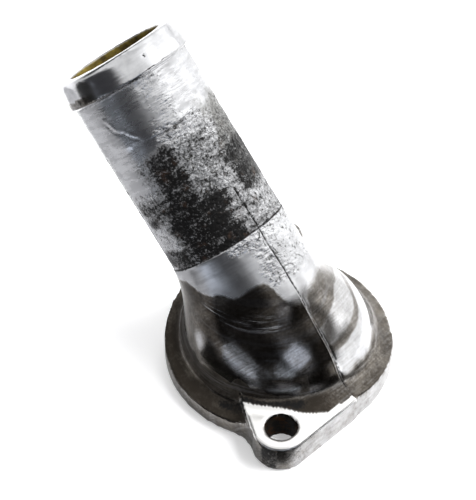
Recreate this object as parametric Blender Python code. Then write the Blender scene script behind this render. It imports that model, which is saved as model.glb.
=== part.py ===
"""Coolant flange of cast aluminium, with a slanted hose neck and two bolt ears.

The casting is a round flange plate with two ears, a dome over it, and a straight neck for a coolant
hose that leaves the dome at a slant. The mould parts in the upright plane through the neck's axis,
so the plate's top falls away to both sides of that plane, and each ear has one wall square to it.
While it is modelled, the flange's axis is Z and the neck leans towards +X. At the end the casting
is moved so that the origin lies under the middle of its bounding box.
"""
import math

import bmesh
import bpy
from mathutils import Matrix, Vector

MM = 0.001

# Dome
DOME_RADIUS = 27.3 * MM
DOME_CENTRE_HEIGHT = 2.2 * MM
DOME_WALL = 4.0 * MM
BLEND_OVER_NECK = 4.0 * MM
BLEND_BESIDE_NECK = 15.0 * MM
BLEND_BEHIND_NECK = 5.0 * MM

# Flange plate, which stands out round the dome
FLANGE_WIDTH = 5.0 * MM
FLANGE_RADIUS = DOME_RADIUS + FLANGE_WIDTH
RIDGE_HEIGHT = 9.4 * MM
TOP_SLOPE = math.radians(7.9)

# Mould: distance of its upright parting plane from the flange's axis
PARTING_Y = 2.0 * MM

# Bolt ears, their holes just outside the flange's rim
BOLT_OUTSET = 2.2 * MM
BOLT_CIRCLE_RADIUS = FLANGE_RADIUS + BOLT_OUTSET
BOLT_ANGLE = math.radians(136.0)
BOLT_HOLE_RADIUS = 4.4 * MM
EAR_NOSE_RADIUS = 7.9 * MM
EAR_HEIGHT = 9.7 * MM
EAR_FLANK_ANGLE = math.radians(-29.0)
EAR_FLANK_FILLET = 4.2 * MM
EAR_RIM_FILLET = 10.0 * MM
EAR_FACE_SETBACK = 0.4 * MM

# Hose neck
NECK_RADIUS = 17.5 * MM
NECK_WALL = 3.55 * MM
NECK_ELEVATION = math.radians(42.8)
NECK_CROSSING_HEIGHT = 18.6 * MM
NECK_ROUND_END = 5.0 * MM
NECK_LENGTH = 85.1 * MM
LIP_RISE = 1.1 * MM
LIP_TAPER = 0.8 * MM
LIP_LENGTH = 7.6 * MM
LIP_STEP_LENGTH = 0.8 * MM
LIP_ROUNDING = 1.3 * MM

# Mesh
AROUND = 64
DOME_RINGS = 24
ARC_STEPS = 8
HOLE_SIDES = 32
MERGE_DISTANCE = 0.02 * MM
OVERCUT = 2.0 * MM
FOOT_DEPTH = 1.0 * MM

NECK_DIRECTION = Vector((math.cos(NECK_ELEVATION), 0.0, math.sin(NECK_ELEVATION)))
NECK_UPWARD = Vector((-NECK_DIRECTION.z, 0.0, NECK_DIRECTION.x))
NECK_CROSSING = Vector((0.0, PARTING_Y, NECK_CROSSING_HEIGHT))
DOME_CENTRE = Vector((0.0, 0.0, DOME_CENTRE_HEIGHT))
EAR_CENTRE = BOLT_CIRCLE_RADIUS * Vector((math.cos(BOLT_ANGLE), math.sin(BOLT_ANGLE)))
EAR_TURNS = (0.0, math.pi)


def clear_scene():
    """Remove every object that the file starts with."""
    for item in list(bpy.data.objects):
        bpy.data.objects.remove(item, do_unlink=True)


def new_collection(name):
    """Add an empty collection to the scene."""
    collection = bpy.data.collections.new(name)
    bpy.context.scene.collection.children.link(collection)
    return collection


def cast_aluminium():
    """Worn cast aluminium, bright where it is rubbed and grey in the hollows."""
    material = bpy.data.materials.new("cast_aluminium")
    material.use_nodes = True
    shader = material.node_tree.nodes["Principled BSDF"]
    shader.inputs["Base Color"].default_value = (0.52, 0.51, 0.50, 1.0)
    shader.inputs["Metallic"].default_value = 1.0
    shader.inputs["Roughness"].default_value = 0.32
    return material


def mesh_object(name, build, collection):
    """Make an object from the bmesh that a function fills."""
    shape = bmesh.new()
    build(shape)
    bmesh.ops.recalc_face_normals(shape, faces=shape.faces)
    mesh = bpy.data.meshes.new(name)
    shape.to_mesh(mesh)
    shape.free()
    item = bpy.data.objects.new(name, mesh)
    collection.objects.link(item)
    return item


def evaluated_mesh(item):
    """Mesh of an object as its modifiers leave it."""
    bpy.context.view_layer.update()
    return bpy.data.meshes.new_from_object(item.evaluated_get(bpy.context.evaluated_depsgraph_get()))


def combine(item, other, operation):
    """Join to, cut from or intersect with another object, and keep the result."""
    modifier = item.modifiers.new(operation.lower(), "BOOLEAN")
    modifier.operation = operation
    modifier.solver = "EXACT"
    modifier.object = other
    result = evaluated_mesh(item)
    item.modifiers.remove(modifier)
    merge_close_points(result)
    item.data = result


def merge_close_points(mesh):
    """Merge points that lie within a thousandth of a millimetre."""
    shape = bmesh.new()
    shape.from_mesh(mesh)
    bmesh.ops.remove_doubles(shape, verts=shape.verts, dist=MERGE_DISTANCE)
    shape.to_mesh(mesh)
    shape.free()


def arc(radius, start, end, centre=(0.0, 0.0), steps=ARC_STEPS):
    """Points along an arc in the plate's plane, both ends included."""
    middle = Vector(centre)
    angles = [start + (end - start) * i / steps for i in range(steps + 1)]
    return [middle + radius * Vector((math.cos(angle), math.sin(angle))) for angle in angles]


def prism(name, outline, bottom, top, collection):
    """Upright prism over a flat outline."""
    curve = bpy.data.curves.new(name, "CURVE")
    curve.dimensions = "2D"
    curve.fill_mode = "BOTH"
    curve.extrude = (top - bottom) / 2.0
    spline = curve.splines.new("POLY")
    spline.points.add(len(outline) - 1)
    for place, corner in zip(spline.points, outline):
        place.co = (corner.x, corner.y, 0.0, 1.0)
    spline.use_cyclic_u = True
    guide = bpy.data.objects.new(name + "_outline", curve)
    guide.location.z = (top + bottom) / 2.0
    collection.objects.link(guide)
    flat = evaluated_mesh(guide)

    def build(shape):
        shape.from_mesh(flat)
        bmesh.ops.remove_doubles(shape, verts=shape.verts, dist=MERGE_DISTANCE)
        shape.transform(guide.matrix_world)

    item = mesh_object(name, build, collection)
    bpy.data.objects.remove(guide, do_unlink=True)
    return item


def rod(name, radius, start, end, sides, collection):
    """Round rod between two points."""
    axis = end - start
    turn = axis.to_track_quat("Z", "Y").to_matrix().to_4x4()
    place = Matrix.Translation((start + end) / 2.0) @ turn

    def build(shape):
        bmesh.ops.create_cone(
            shape, cap_ends=True, segments=sides, radius1=radius, radius2=radius, depth=axis.length, matrix=place
        )

    return mesh_object(name, build, collection)


def turned(points, turn):
    """Points of the first ear, turned about the flange's axis to another ear."""
    return [Matrix.Rotation(turn, 2) @ corner for corner in points]


def parting_offset(turn):
    """Parting plane's distance from the flange's axis, as an ear turned by turn sees it."""
    return PARTING_Y * math.cos(turn)


def ear_wall_x():
    """X of the ear's wall that stands square to the parting plane."""
    return EAR_CENTRE.x - EAR_NOSE_RADIUS


def half_outline(turn):
    """Outline of half the plate: rim, hollow fillet, ear nose and the ear's wall."""
    rim_reach = FLANGE_RADIUS + EAR_RIM_FILLET
    nose_reach = EAR_NOSE_RADIUS + EAR_RIM_FILLET
    spread = math.acos(
        (rim_reach**2 + BOLT_CIRCLE_RADIUS**2 - nose_reach**2) / (2.0 * rim_reach * BOLT_CIRCLE_RADIUS)
    )
    rim_start = math.asin(parting_offset(turn) / FLANGE_RADIUS)
    rim_end = BOLT_ANGLE - spread
    fillet_centre = rim_reach * Vector((math.cos(rim_end), math.sin(rim_end)))
    to_nose = EAR_CENTRE - fillet_centre
    fillet_end = math.atan2(to_nose.y, to_nose.x)
    points = arc(FLANGE_RADIUS, rim_start, rim_end, steps=4 * ARC_STEPS)
    points += arc(EAR_RIM_FILLET, rim_end - math.pi, fillet_end, fillet_centre)[1:]
    points += arc(EAR_NOSE_RADIUS, fillet_end + math.pi, math.pi, EAR_CENTRE, steps=2 * ARC_STEPS)[1:]
    points.append(Vector((ear_wall_x(), parting_offset(turn))))
    return turned(points, turn)


def ear_flank():
    """Start, direction and outward side of the ear's slanted flank."""
    direction = Vector((math.cos(EAR_FLANK_ANGLE), math.sin(EAR_FLANK_ANGLE)))
    outward = Vector((-direction.y, direction.x))
    return EAR_CENTRE + outward * EAR_NOSE_RADIUS, direction, outward


def bar(name, profile, run, collection):
    """Straight bar with a given end face and run."""

    def build(shape):
        end = shape.faces.new([shape.verts.new(corner) for corner in profile])
        grown = bmesh.ops.extrude_face_region(shape, geom=[end])["geom"]
        moved = [part for part in grown if isinstance(part, bmesh.types.BMVert)]
        bmesh.ops.translate(shape, verts=moved, vec=run)

    return mesh_object(name, build, collection)


def ear_bar(turn, collection):
    """Long bar along the ear's flank: flat on top, with a hollow fillet down its outer side."""
    start, direction, outward = ear_flank()
    reach = 2.0 * FLANGE_RADIUS
    section = [Vector((-reach, -2.0 * OVERCUT)), Vector((-reach, EAR_HEIGHT))]
    section += arc(EAR_FLANK_FILLET, math.pi, 1.5 * math.pi, (EAR_FLANK_FILLET, EAR_HEIGHT))
    section.append(Vector((EAR_FLANK_FILLET, -2.0 * OVERCUT)))
    near = start - direction * reach
    place = Matrix.Rotation(turn, 3, "Z")
    profile = [place @ (near + outward * aside).to_3d() + Vector((0.0, 0.0, height)) for aside, height in section]
    return bar("ear_bar", profile, place @ (direction * 2.0 * reach).to_3d(), collection)


def ear_block(turn, collection):
    """The ear's raised part, from past its outer wall to under the dome."""
    start, direction, outward = ear_flank()
    outer_x = ear_wall_x() - OVERCUT
    edge_y = parting_offset(turn) + EAR_FACE_SETBACK
    side = start + outward * (EAR_FLANK_FILLET + OVERCUT)
    inner = side - direction * start.dot(direction)
    outer = side - direction * (side.x - outer_x) / direction.x
    points = [inner, outer, Vector((outer_x, edge_y)), Vector((0.0, edge_y))]
    block = prism("ear_block", turned(points, turn), -OVERCUT, EAR_HEIGHT + OVERCUT, collection)
    combine(block, ear_bar(turn, collection), "INTERSECT")
    return block


def flange_roof(collection):
    """The plate's top: two slopes that fall from a ridge on the parting plane."""
    reach = 2.0 * FLANGE_RADIUS
    eaves = RIDGE_HEIGHT - reach * math.tan(TOP_SLOPE)
    section = [(-reach, -reach), (reach, -reach), (reach, eaves), (0.0, RIDGE_HEIGHT), (-reach, eaves)]
    profile = [Vector((-reach, PARTING_Y + y, z)) for y, z in section]
    return bar("flange_roof", profile, Vector((2.0 * reach, 0.0, 0.0)), collection)


def flange_plate(parts, cutters):
    """Plate with both ears, its outline cut straight down through roof and ears."""
    outline = half_outline(EAR_TURNS[0]) + half_outline(EAR_TURNS[1])
    plate = prism("casting", outline, 0.0, EAR_HEIGHT + OVERCUT, parts)
    roof = flange_roof(cutters)
    for turn in EAR_TURNS:
        combine(roof, ear_block(turn, cutters), "UNION")
    combine(plate, roof, "INTERSECT")
    return plate


def smooth_least(first, second, width):
    """The lesser of two distances, rounded where they come within width of each other."""
    closeness = max(width - abs(first - second), 0.0) / width
    return min(first, second) - closeness * closeness * width / 4.0


def neck_point(along):
    """Point at a distance along the neck's axis."""
    return NECK_CROSSING + NECK_DIRECTION * along


def body_distance(place, dome_radius, neck_radius):
    """Distance to the surface of dome and neck, which run into each other in a hollow fillet.

    The fillet is full beside and below the neck, and slight over it and on the -Y side.
    """
    to_dome = (place - DOME_CENTRE).length - dome_radius
    offset = place - NECK_CROSSING
    along = max(offset.dot(NECK_DIRECTION), NECK_ROUND_END)
    radial = offset - NECK_DIRECTION * along
    reach = max(radial.length, MERGE_DISTANCE)
    over = max(radial.dot(NECK_UPWARD), 0.0) / reach
    behind = max(-radial.y, 0.0) / reach
    width = BLEND_BESIDE_NECK
    width += (BLEND_OVER_NECK - BLEND_BESIDE_NECK) * over**2
    width += (BLEND_BEHIND_NECK - BLEND_BESIDE_NECK) * behind**2
    return smooth_least(to_dome, radial.length - neck_radius, width)


def surface_point(centre, ray, dome_radius, neck_radius):
    """Where a ray from inside the body meets its surface."""
    inner = 0.0
    outer = 2.0 * DOME_RADIUS
    for _ in range(40):
        middle = (inner + outer) / 2.0
        if body_distance(centre + ray * middle, dome_radius, neck_radius) < 0.0:
            inner = middle
        else:
            outer = middle
    return centre + ray * inner


def blend_end():
    """Distance along the neck past which the dome's fillet no longer touches it."""
    reach = DOME_RADIUS + BLEND_BESIDE_NECK
    across = NECK_RADIUS * math.cos(NECK_ELEVATION)
    return math.sqrt(reach**2 - across**2) - (NECK_CROSSING_HEIGHT - DOME_CENTRE_HEIGHT) * NECK_DIRECTION.z


def dome_rings(start_height, dome_radius, neck_radius):
    """Rings of the dome, in planes that swing from the level foot to square across the neck."""
    end = neck_point(blend_end())
    hinge_x = end.x + (end.z - start_height) * math.tan(NECK_ELEVATION)
    hinge = Vector((hinge_x, 0.0, start_height))
    start = Vector((0.0, 0.0, start_height))
    rings = []
    for i in range(DOME_RINGS + 1):
        share = i / DOME_RINGS
        bend = Vector((0.0, PARTING_Y, max(NECK_CROSSING_HEIGHT, start_height)))
        centre = start.lerp(bend, share).lerp(bend.lerp(end, share), share)
        inward = Vector((centre.x - hinge.x, 0.0, centre.z - hinge.z)).normalized()
        rings.append([
            surface_point(centre, ring_ray(inward, j), dome_radius, neck_radius) for j in range(AROUND)
        ])
    return rings


def ring_ray(inward, step):
    """Direction of one of a ring's points from its centre."""
    angle = 2.0 * math.pi * step / AROUND
    return inward * math.cos(angle) + Vector((0.0, math.sin(angle), 0.0))


def neck_rings(profile):
    """Rings of the neck from its distances along the axis and radii."""
    return [
        [neck_point(along) + ring_ray(NECK_UPWARD, j) * radius for j in range(AROUND)] for along, radius in profile
    ]


def loft(name, rings, collection):
    """Closed body through a row of rings."""

    def build(shape):
        rows = [[shape.verts.new(place) for place in ring] for ring in rings]
        for lower, upper in zip(rows, rows[1:]):
            for j in range(AROUND):
                k = (j + 1) % AROUND
                shape.faces.new((lower[j], lower[k], upper[k], upper[j]))
        shape.faces.new(rows[0])
        shape.faces.new(rows[-1])

    return mesh_object(name, build, collection)


def lip_profile():
    """Hose lip: a step up from the neck, a taper towards the tip and a rounded end."""
    crest = NECK_LENGTH - LIP_LENGTH
    crest_radius = NECK_RADIUS + LIP_RISE
    end_radius = crest_radius - LIP_TAPER
    profile = [(crest - LIP_STEP_LENGTH, NECK_RADIUS), (crest, crest_radius)]
    for i in range(ARC_STEPS // 2 + 1):
        angle = math.pi / 2.0 * i / (ARC_STEPS // 2)
        along = NECK_LENGTH - LIP_ROUNDING * (1.0 - math.sin(angle))
        profile.append((along, end_radius - LIP_ROUNDING * (1.0 - math.cos(angle))))
    return profile


def outer_body(collection):
    """Outside of dome and neck, its foot sunk into the plate."""
    rings = dome_rings(FOOT_DEPTH, DOME_RADIUS, NECK_RADIUS)
    return loft("outer_body", rings + neck_rings(lip_profile()), collection)


def waterway(collection):
    """The hollow that the coolant runs through, from the sealing face to the neck's mouth."""
    bore_radius = NECK_RADIUS - NECK_WALL
    rings = dome_rings(-OVERCUT, DOME_RADIUS - DOME_WALL, bore_radius)
    return loft("waterway", rings + neck_rings([(NECK_LENGTH + OVERCUT, bore_radius)]), collection)


def bolt_hole(turn, collection):
    """Straight hole through an ear."""
    centre = turned([EAR_CENTRE], turn)[0].to_3d()
    depth = Vector((0.0, 0.0, OVERCUT))
    height = Vector((0.0, 0.0, EAR_HEIGHT))
    return rod("bolt_hole", BOLT_HOLE_RADIUS, centre - depth, centre + height + depth, HOLE_SIDES, collection)


def stand_on_origin(item):
    """Move the casting so that the origin lies under the middle of its bounding box."""
    corners = [Vector(corner) for corner in item.bound_box]
    lowest = Vector(min(corner[i] for corner in corners) for i in range(3))
    highest = Vector(max(corner[i] for corner in corners) for i in range(3))
    middle = (lowest + highest) / 2.0
    item.data.transform(Matrix.Translation((-middle.x, -middle.y, -lowest.z)))


def main():
    """Build the casting."""
    clear_scene()
    parts = new_collection("coolant_flange")
    cutters = new_collection("cutters")
    casting = flange_plate(parts, cutters)
    combine(casting, outer_body(cutters), "UNION")
    combine(casting, waterway(cutters), "DIFFERENCE")
    for turn in EAR_TURNS:
        combine(casting, bolt_hole(turn, cutters), "DIFFERENCE")
    for item in cutters.objects:
        item.hide_render = True
        item.display_type = "WIRE"
    stand_on_origin(casting)
    casting.data.materials.clear()
    casting.data.materials.append(cast_aluminium())
    casting.data.shade_smooth()
    casting.data.set_sharp_from_angle(angle=math.radians(35.0))


main()
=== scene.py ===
"""Dressed model of a worn aluminium coolant flange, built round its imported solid.

The casting is a flange plate with two bolt ears, a dome and a slanted hose neck. Its visible skin
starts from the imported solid, is remeshed finely, brought to its true round form with a hollow
fillet at the dome's foot, and then gets its marks one by one: the mould's parting seam, the hose's
rings, corrosion, scratches and file marks. Sizes are in millimetres in the flange's own frame,
where Z is the flange's axis and the neck leans towards +X, unless a name says otherwise.
"""
import logging
import math
from abc import ABC, abstractmethod
from collections.abc import Callable, Sequence
from dataclasses import dataclass, field
from enum import Enum
from functools import cached_property

import bpy
import numpy as np
from mathutils import Matrix, Vector, noise


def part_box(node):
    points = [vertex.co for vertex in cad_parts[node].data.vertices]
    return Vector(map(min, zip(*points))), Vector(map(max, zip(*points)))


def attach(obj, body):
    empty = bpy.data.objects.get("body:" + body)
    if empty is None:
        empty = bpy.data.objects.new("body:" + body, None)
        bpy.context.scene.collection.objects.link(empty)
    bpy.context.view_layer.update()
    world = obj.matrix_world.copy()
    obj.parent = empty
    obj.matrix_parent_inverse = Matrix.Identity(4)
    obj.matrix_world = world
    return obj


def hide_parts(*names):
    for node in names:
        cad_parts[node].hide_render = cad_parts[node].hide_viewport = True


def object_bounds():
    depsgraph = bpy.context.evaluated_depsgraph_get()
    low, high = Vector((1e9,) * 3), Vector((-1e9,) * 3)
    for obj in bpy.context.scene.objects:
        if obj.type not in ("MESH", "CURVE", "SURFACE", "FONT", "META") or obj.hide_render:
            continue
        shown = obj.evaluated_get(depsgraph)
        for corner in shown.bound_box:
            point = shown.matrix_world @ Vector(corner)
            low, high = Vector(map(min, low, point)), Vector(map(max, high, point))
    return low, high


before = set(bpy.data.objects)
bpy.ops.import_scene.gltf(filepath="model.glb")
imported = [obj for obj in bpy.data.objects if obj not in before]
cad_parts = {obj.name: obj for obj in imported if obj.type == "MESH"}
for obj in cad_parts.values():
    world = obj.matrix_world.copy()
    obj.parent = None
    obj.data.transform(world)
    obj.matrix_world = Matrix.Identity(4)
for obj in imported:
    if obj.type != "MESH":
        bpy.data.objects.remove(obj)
CAD_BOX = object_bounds()
MM = 0.001
LOG = logging.getLogger("coolant_flange")
EAR_TURNS = (0.0, math.pi)
Triple = tuple[float, float, float]
Colour = Triple
Line = tuple[tuple[float, float], ...]
Socket = bpy.types.NodeSocket
WHITE: Colour = (1.0, 1.0, 1.0)
DULL_SHEEN = 0.1


def smooth_least(first: np.ndarray, second: np.ndarray, width: np.ndarray | float) -> np.ndarray:
    """Take the lesser of two distances, rounded where they come close.

    Args:
        first: distances to one surface.
        second: distances to the other surface.
        width: how close they come before the rounding starts.

    Returns:
        The distance to both surfaces run together.
    """
    closeness = np.maximum(width - np.abs(first - second), 0.0) / width
    return np.minimum(first, second) - closeness * closeness * width / 4.0


def rise(value: np.ndarray, start: float, end: float) -> np.ndarray:
    """Smooth step from 0 at start to 1 at end; end may be the lesser one."""
    share = np.clip((value - start) / (end - start), 0.0, 1.0)
    return share * share * (3.0 - 2.0 * share)


def between(value: np.ndarray, low: float, high: float, soft: float) -> np.ndarray:
    """Window that is 1 from low to high and fades to 0 over soft outside it."""
    return rise(value, low - soft, low) * rise(value, high + soft, high)


def bell(value: np.ndarray, half_width: float) -> np.ndarray:
    """Bell curve that is 1 at 0 and falls to about a third at half_width."""
    return np.exp(-((value / half_width) ** 2))


@dataclass(frozen=True)
class BodyForm:
    """Dome and neck, which run into each other in a hollow fillet."""

    dome_radius: float = 27.3
    dome_centre_z: float = 2.2
    dome_wall: float = 4.0
    neck_radius: float = 17.5
    neck_wall: float = 3.55
    neck_elevation: float = math.radians(42.8)
    neck_crossing_z: float = 18.6
    neck_round_end: float = 5.0
    neck_length: float = 85.1
    lip_start: float = 76.2
    lip: Line = ((76.7, 17.5), (77.5, 18.6), (83.8, 17.8))
    parting_y: float = 2.0
    seam_wander: float = 0.25
    blend_over: float = 4.0
    blend_beside: float = 15.0
    blend_behind: float = 5.0

    @property
    def direction(self) -> np.ndarray:
        """Unit vector along the neck, out of the flange."""
        return np.array([math.cos(self.neck_elevation), 0.0, math.sin(self.neck_elevation)])

    @property
    def upward(self) -> np.ndarray:
        """Unit vector square to the neck, towards its top."""
        return np.array([-math.sin(self.neck_elevation), 0.0, math.cos(self.neck_elevation)])

    @property
    def crossing(self) -> np.ndarray:
        """Point where the neck's axis passes over the flange's axis."""
        return np.array([0.0, self.parting_y, self.neck_crossing_z])

    def neck_place(self, points: np.ndarray) -> tuple[np.ndarray, np.ndarray, np.ndarray]:
        """Give each point its place on the neck.

        Args:
            points: places in millimetres, one to a row.

        Returns:
            Distance along the neck, angle from its top towards +Y in degrees, and distance from its axis.
        """
        offset = points - self.crossing
        along = offset @ self.direction
        over = offset @ self.upward
        aside = offset[:, 1]
        return along, np.degrees(np.arctan2(aside, over)), np.hypot(over, aside)

    def off_lip(self, points: np.ndarray) -> np.ndarray:
        """Distance to the outside of the lip at the neck's end."""
        along, _, reach = self.neck_place(points)
        return reach - np.interp(along, *zip(*self.lip))

    def distance(self, points: np.ndarray, inset: float = 0.0) -> np.ndarray:
        """Distance to the outside of dome and neck, or to the waterway's wall.

        Args:
            points: places in millimetres, one to a row.
            inset: 1 for the waterway's wall, 0 for the outside.

        Returns:
            Distances, negative inside.
        """
        dome_radius = self.dome_radius - inset * self.dome_wall
        neck_radius = self.neck_radius - inset * self.neck_wall
        to_dome = np.linalg.norm(points - np.array([0.0, 0.0, self.dome_centre_z]), axis=1) - dome_radius
        offset = points - self.crossing
        along = np.maximum(offset @ self.direction, self.neck_round_end)
        radial = offset - along[:, None] * self.direction
        reach = np.maximum(np.linalg.norm(radial, axis=1), 0.001)
        over = np.maximum(radial @ self.upward, 0.0) / reach
        behind = np.maximum(-radial[:, 1], 0.0) / reach
        width = self.blend_beside + (self.blend_over - self.blend_beside) * over**2
        width = width + (self.blend_behind - self.blend_beside) * behind**2
        return smooth_least(to_dome, reach - neck_radius, width)


@dataclass(frozen=True)
class PlateForm:
    """Flange plate with its sloping top and the two bolt ears."""

    rim_radius: float = 32.3
    ridge_height: float = 9.4
    top_slope: float = math.radians(7.9)
    parting_y: float = 2.0
    bolt_circle_radius: float = 34.5
    bolt_angle: float = math.radians(136.0)
    hole_radius: float = 4.4
    nose_radius: float = 7.9
    ear_height: float = 9.7
    flank_angle: float = math.radians(-29.0)
    flank_fillet: float = 4.2
    face_setback: float = 0.4

    @property
    def wall_x(self) -> float:
        """X of the first ear's wall that stands square to the parting plane."""
        return self.bolt_circle_radius * math.cos(self.bolt_angle) - self.nose_radius

    @property
    def ear_centre(self) -> np.ndarray:
        """Centre of the first ear's hole."""
        return self.bolt_circle_radius * np.array([math.cos(self.bolt_angle), math.sin(self.bolt_angle)])

    def seen_from_ear(self, points: np.ndarray, turn: float) -> np.ndarray:
        """Turn points so that the ear at this turn lies where the first one does."""
        cosine, sine = math.cos(turn), math.sin(turn)
        return np.column_stack((
            points[:, 0] * cosine + points[:, 1] * sine,
            points[:, 1] * cosine - points[:, 0] * sine,
            points[:, 2],
        ))

    def roof(self, points: np.ndarray) -> np.ndarray:
        """Height of the plate's sloping top over each point."""
        return self.ridge_height - math.tan(self.top_slope) * np.abs(points[:, 1] - self.parting_y)

    def ear_top(self, points: np.ndarray, turn: float) -> np.ndarray:
        """Height of one ear's face and flank over each point, and zero away from the ear."""
        local = self.seen_from_ear(points, turn)
        direction = np.array([math.cos(self.flank_angle), math.sin(self.flank_angle)])
        outward = np.array([-direction[1], direction[0]])
        aside = (local[:, :2] - self.ear_centre) @ outward - self.nose_radius
        drop = np.clip(aside, 0.0, self.flank_fillet)
        depth = np.sqrt(np.maximum(self.flank_fillet**2 - (self.flank_fillet - drop) ** 2, 0.0))
        edge_y = self.parting_y * math.cos(turn) + self.face_setback
        on_ear = (local[:, 1] > edge_y) & (local[:, 0] < 0.0) & (aside < self.flank_fillet)
        return np.where(on_ear, self.ear_height - depth, 0.0)

    def walls(self, points: np.ndarray) -> list[np.ndarray]:
        """Distances to the rim's round wall and to each ear's nose and straight wall, negative inside."""
        distances = [np.hypot(points[:, 0], points[:, 1]) - self.rim_radius]
        for turn in EAR_TURNS:
            local = self.seen_from_ear(points, turn)
            distances.append(np.linalg.norm(local[:, :2] - self.ear_centre, axis=1) - self.nose_radius)
            beside = (local[:, 1] > self.parting_y * math.cos(turn)) & (local[:, 1] < self.ear_centre[1])
            distances.append(np.where(beside, self.wall_x - local[:, 0], 10.0))
        return distances

    def top(self, points: np.ndarray) -> np.ndarray:
        """Height of the plate's or the ears' top over each point."""
        height = self.roof(points)
        for turn in EAR_TURNS:
            height = np.maximum(height, self.ear_top(points, turn))
        return height


@dataclass
class Places:
    """Points of the casting's skin with what the marks need to know about them."""

    points: np.ndarray
    normals: np.ndarray
    body: BodyForm
    plate: PlateForm
    along: np.ndarray = field(init=False)
    angle: np.ndarray = field(init=False)
    radius: np.ndarray = field(init=False)
    to_body: np.ndarray = field(init=False)
    to_top: np.ndarray = field(init=False)
    outer: np.ndarray = field(init=False)
    on_neck: np.ndarray = field(init=False)
    on_dome: np.ndarray = field(init=False)
    upright: np.ndarray = field(init=False)
    round_axis: np.ndarray = field(init=False)

    def __post_init__(self) -> None:
        """Work out the places from the points."""
        self.along, self.angle, self.radius = self.body.neck_place(self.points)
        self.to_body = self.body.distance(self.points)
        self.to_top = self.points[:, 2] - self.plate.top(self.points)
        self.outer = self.to_body > -self.body.neck_wall / 2.0
        over_plate = rise(self.to_top, -0.2, 0.6)
        self.on_neck = self.outer * over_plate * rise(self.along, 6.0, 12.0)
        self.on_dome = self.outer * over_plate * rise(self.to_body, 1.5, 0.4)
        self.upright = rise(np.abs(self.normals[:, 2]), 0.5, 0.3) * (self.to_body > 0.8)
        self.round_axis = np.degrees(np.arctan2(self.points[:, 1], self.points[:, 0]))

    def speckle(self, size: float, seed: float) -> np.ndarray:
        """Soft noise from -1 to 1 at every point, with spots of about this size."""
        shift = Vector((seed, 2.0 * seed, -seed))
        return np.array([noise.noise(Vector(place) / size + shift) for place in self.points])

    @cached_property
    def off_seam(self) -> np.ndarray:
        """Distance from the parting seam, which wanders a little."""
        return self.points[:, 1] - self.body.parting_y - self.body.seam_wander * self.speckle(7.0, 11.0)

    def follow(self, line: Line) -> np.ndarray:
        """Value that a line of (angle, value) corners has at each point's angle round the neck."""
        return np.interp(self.angle, *zip(*line))

    def dab(self, along: float, angle: float, length: float, width: float, power: float = 1.0) -> np.ndarray:
        """Spot on the neck that fades away from its middle.

        Args:
            along: distance of its middle along the neck.
            angle: angle of its middle round the neck.
            length: how far it reaches along the neck.
            width: how far it reaches round the neck, in degrees.
            power: how sharp its edge is.

        Returns:
            The spot's share at each point.
        """
        reach = ((self.along - along) / length) ** 2 + ((self.angle - angle) / width) ** 2
        return np.exp(-(reach**power))


@dataclass(frozen=True)
class Area:
    """Soft-edged window on the neck: where it starts, where it ends and how softly, both ways."""

    share: float
    along: Triple
    angle: Triple

    def cover(self, along: np.ndarray, angle: np.ndarray) -> np.ndarray:
        """Share at places this far along the neck and at this angle round it."""
        return self.share * between(angle, *self.angle) * between(along, *self.along)


class Mark(ABC):
    """Something that raises or sinks the casting's skin."""

    @abstractmethod
    def height(self, places: Places) -> np.ndarray:
        """Rise of the skin at each place, in millimetres."""


@dataclass(frozen=True)
class PartingSeam(Mark):
    """Fine flash line where the two halves of the mould met."""

    rise_mm: float = 0.07
    half_width: float = 0.27
    groove: float = 0.20
    fade_start: float = 36.0
    fade_end: float = 42.0

    def height(self, places: Places) -> np.ndarray:
        """Ridge with a shallow groove beside it, filed away towards the neck's end."""
        ridge = self.rise_mm * bell(places.off_seam, self.half_width)
        groove = self.groove * bell(places.off_seam + 1.6 * self.half_width, self.half_width)
        upper = np.abs(places.angle) < 90.0
        kept = np.where(upper, rise(places.along, self.fade_end, self.fade_start), 0.55)
        kept = kept * np.clip(0.8 + 0.5 * places.speckle(4.0, 3.0), 0.2, 1.2)
        return (ridge - groove) * kept * places.outer * rise(places.to_top, 0.0, 0.8)


@dataclass(frozen=True)
class RingMark(Mark):
    """Ring that a hose's end or a clamp pressed round the neck."""

    along: float
    depth: float
    half_width: float
    first_angle: float = -180.0
    last_angle: float = 180.0
    wander: float = 0.2

    def height(self, places: Places) -> np.ndarray:
        """Narrow groove across the neck."""
        offset = places.along - self.along - self.wander * places.speckle(9.0, self.along)
        groove = self.depth * bell(offset, self.half_width)
        span = between(places.angle, self.first_angle, self.last_angle, 8.0)
        return -groove * span * places.on_neck


@dataclass(frozen=True)
class HoseBand(Mark):
    """Part of the neck that sat under the hose and was eaten a little deeper than the rest."""

    start: float = 25.2
    end: float = 61.0
    depth: float = 0.12

    def height(self, places: Places) -> np.ndarray:
        """Shallow band with a sharp lower edge and a ragged upper one."""
        upper = self.end + 3.0 * places.speckle(6.0, 5.0)
        band = rise(places.along, self.start - 0.3, self.start + 0.3) * (places.along < upper)
        return -self.depth * band * places.on_neck


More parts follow.
